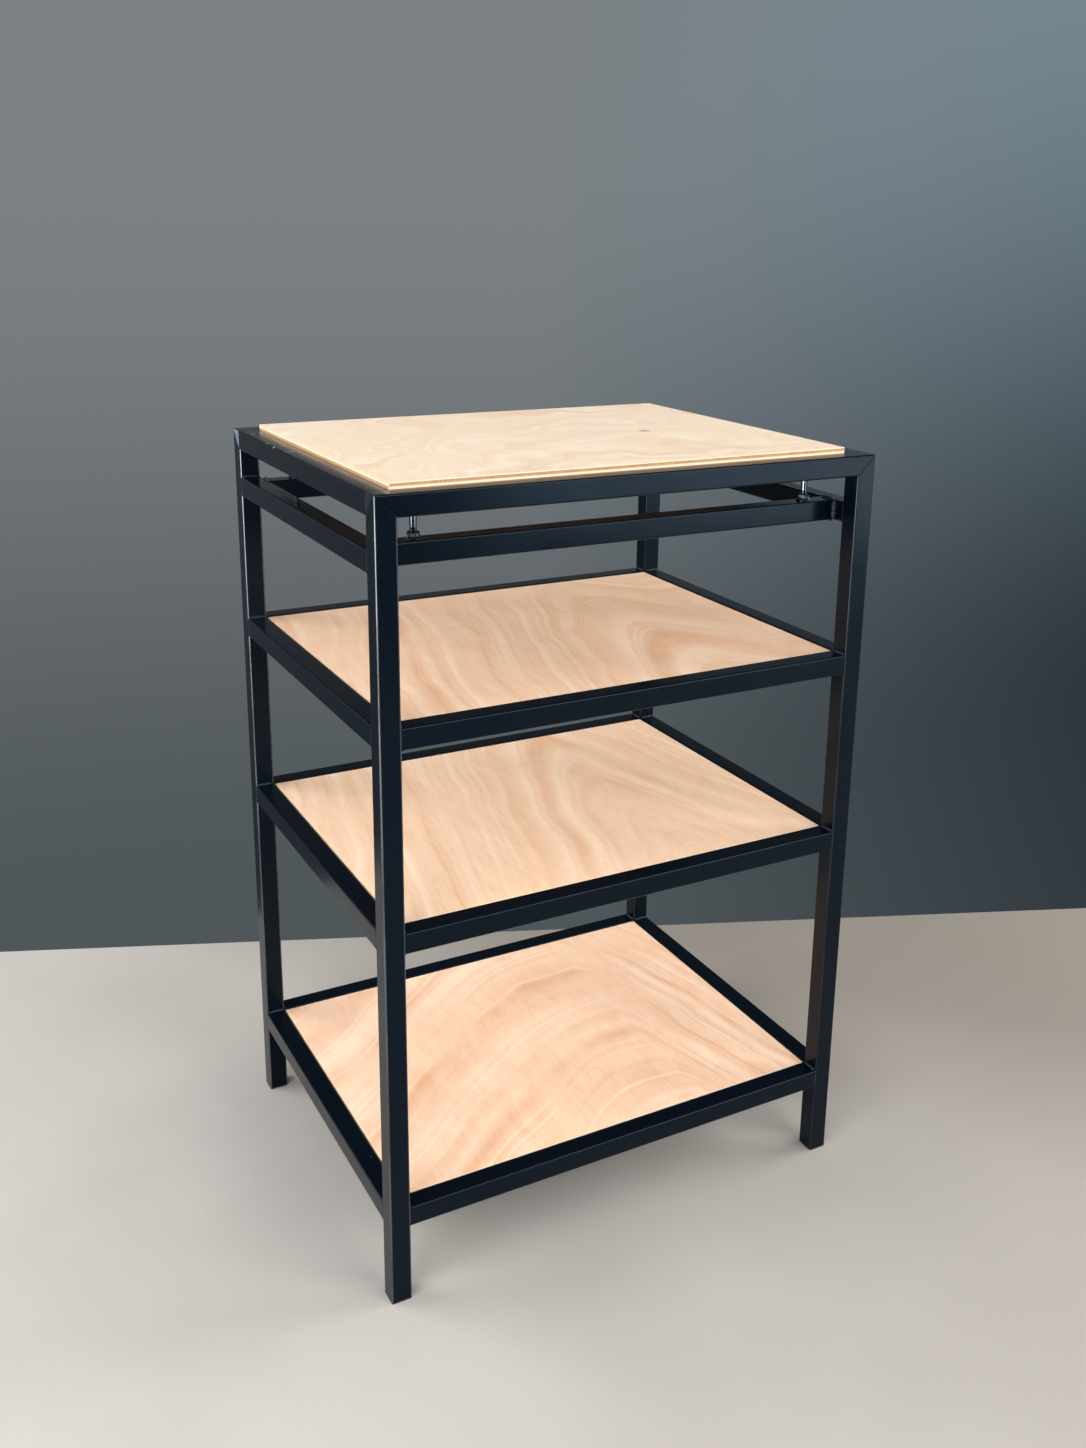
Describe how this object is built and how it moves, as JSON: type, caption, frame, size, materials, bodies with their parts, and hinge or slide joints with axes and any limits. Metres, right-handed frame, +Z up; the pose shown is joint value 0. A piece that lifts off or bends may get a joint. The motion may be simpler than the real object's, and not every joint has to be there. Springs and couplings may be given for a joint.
{
  "type": "audio equipment rack",
  "caption": "Open free-standing rack for audio equipment: welded square-tube steel frame, inset plywood shelves and a plywood top that floats on adjustable spikes.",
  "frame": {"origin": "on the floor, under the middle of the rack", "axes": "+Z up, +X to the right and -Y towards the front, seen by someone who stands before the rack"},
  "size_m": [0.636, 0.5, 0.9665],
  "materials": {
    "powder_coated_steel": "semi-gloss black powder coat",
    "beech_plywood": "pale rotary-cut veneer, satin",
    "zinc_plated_steel": "bright zinc plate",
    "black_oxide_steel": "black oxide",
    "black_polyethylene": "matt moulded"
  },
  "bodies": {
    "frame": {"leg_front_left": "powder_coated_steel", "leg_front_right": "powder_coated_steel", "leg_back_left": "powder_coated_steel", "leg_back_right": "powder_coated_steel", "plug_front_left": "black_polyethylene", "plug_front_right": "black_polyethylene", "plug_back_left": "black_polyethylene", "plug_back_right": "black_polyethylene", "top_rail_front": "powder_coated_steel", "top_rail_back": "powder_coated_steel", "top_rail_left": "powder_coated_steel", "top_rail_right": "powder_coated_steel", "lift_rail_left": "powder_coated_steel", "lift_rail_right": "powder_coated_steel", "cross_rail_front": "powder_coated_steel", "cross_rail_back": "powder_coated_steel", "lower_rail_front": "powder_coated_steel", "lower_rail_back": "powder_coated_steel", "lower_rail_left": "powder_coated_steel", "lower_rail_right": "powder_coated_steel", "middle_rail_front": "powder_coated_steel", "middle_rail_back": "powder_coated_steel", "middle_rail_left": "powder_coated_steel", "middle_rail_right": "powder_coated_steel", "upper_rail_front": "powder_coated_steel", "upper_rail_back": "powder_coated_steel", "upper_rail_left": "powder_coated_steel", "upper_rail_right": "powder_coated_steel", "lower_tab_front_left": "powder_coated_steel", "lower_tab_front_right": "powder_coated_steel", "lower_tab_back_left": "powder_coated_steel", "lower_tab_back_right": "powder_coated_steel", "middle_tab_front_left": "powder_coated_steel", "middle_tab_front_right": "powder_coated_steel", "middle_tab_back_left": "powder_coated_steel", "middle_tab_back_right": "powder_coated_steel", "upper_tab_front_left": "powder_coated_steel", "upper_tab_front_right": "powder_coated_steel", "upper_tab_back_left": "powder_coated_steel", "upper_tab_back_right": "powder_coated_steel"},
    "lower_shelf": {"lower_board": "beech_plywood"},
    "middle_shelf": {"middle_board": "beech_plywood"},
    "upper_shelf": {"upper_board": "beech_plywood"},
    "top": {"top_board": "beech_plywood"},
    "nut_front_left": {"spike_nut_front_left": "black_oxide_steel"},
    "nut_front_right": {"spike_nut_front_right": "black_oxide_steel"},
    "nut_back_left": {"spike_nut_back_left": "black_oxide_steel"},
    "nut_back_right": {"spike_nut_back_right": "black_oxide_steel"},
    "rod_front_left": {"spike_front_left": "zinc_plated_steel"},
    "rod_front_right": {"spike_front_right": "zinc_plated_steel"},
    "rod_back_left": {"spike_back_left": "zinc_plated_steel"},
    "rod_back_right": {"spike_back_right": "zinc_plated_steel"}
  },
  "joints": [
    {"name": "lower_shelf_lift", "type": "slide", "parent": "frame", "child": "lower_shelf", "axis": [0, 0, 1], "range_m": [0, 0.33]},
    {"name": "middle_shelf_lift", "type": "slide", "parent": "frame", "child": "middle_shelf", "axis": [0, 0, 1], "range_m": [0, 0.22]},
    {"name": "upper_shelf_lift", "type": "slide", "parent": "frame", "child": "upper_shelf", "axis": [0, 0, 1], "range_m": [0, 0.16]},
    {"name": "top_lift", "type": "slide", "parent": "frame", "child": "top", "axis": [0, 0, 1], "range_m": [0, 0.1]},
    {"name": "nut_front_left_turn", "type": "hinge", "parent": "frame", "child": "nut_front_left", "pos_m": [-0.255, -0.1965, 0.9], "axis": [0, 0, 1], "range_deg": [0, 1440]},
    {"name": "nut_front_right_turn", "type": "hinge", "parent": "frame", "child": "nut_front_right", "pos_m": [0.255, -0.1965, 0.9], "axis": [0, 0, 1], "range_deg": [0, 1440]},
    {"name": "nut_back_left_turn", "type": "hinge", "parent": "frame", "child": "nut_back_left", "pos_m": [-0.255, 0.1965, 0.9], "axis": [0, 0, 1], "range_deg": [0, 1440]},
    {"name": "nut_back_right_turn", "type": "hinge", "parent": "frame", "child": "nut_back_right", "pos_m": [0.255, 0.1965, 0.9], "axis": [0, 0, 1], "range_deg": [0, 1440]},
    {"name": "spike_front_left_travel", "type": "slide", "parent": "frame", "child": "rod_front_left", "axis": [0, 0, 1], "range_m": [-0.005, 0]},
    {"name": "spike_front_right_travel", "type": "slide", "parent": "frame", "child": "rod_front_right", "axis": [0, 0, 1], "range_m": [-0.005, 0]},
    {"name": "spike_back_left_travel", "type": "slide", "parent": "frame", "child": "rod_back_left", "axis": [0, 0, 1], "range_m": [-0.005, 0]},
    {"name": "spike_back_right_travel", "type": "slide", "parent": "frame", "child": "rod_back_right", "axis": [0, 0, 1], "range_m": [-0.005, 0]}
  ],
  "couplings": [
    {"joint": "nut_front_left_turn", "follows": "spike_front_left_travel", "rad_per_m": -5026.5},
    {"joint": "nut_front_right_turn", "follows": "spike_front_right_travel", "rad_per_m": -5026.5},
    {"joint": "nut_back_left_turn", "follows": "spike_back_left_travel", "rad_per_m": -5026.5},
    {"joint": "nut_back_right_turn", "follows": "spike_back_right_travel", "rad_per_m": -5026.5}
  ]
}
